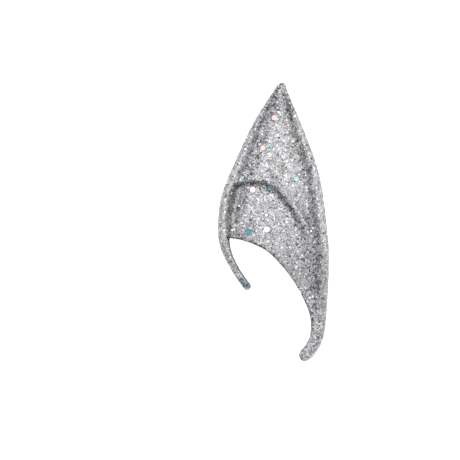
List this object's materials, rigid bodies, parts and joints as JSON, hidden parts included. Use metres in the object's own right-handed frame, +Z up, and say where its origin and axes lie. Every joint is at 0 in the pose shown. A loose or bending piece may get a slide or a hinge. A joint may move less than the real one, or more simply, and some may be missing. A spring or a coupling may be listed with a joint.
{
  "type": "elf ear tip",
  "caption": "Pointed hollow ear tip of soft glitter-coated latex, with a rolled rim, a folded front, an open mouth, a thin finger and a tail.",
  "frame": {"origin": "under the middle of the piece's box, at the level of the flat of its back", "axes": "lying on its back as pictured: +X across the ear towards its tail side, +Y along it towards the point, +Z up out of the sculpted front"},
  "size_m": [0.0496, 0.125, 0.016],
  "materials": {
    "glitter_latex": "soft latex with a coat of fine silver glitter"
  },
  "bodies": {
    "root": {"ear_shell": "glitter_latex"}
  },
  "joints": []
}
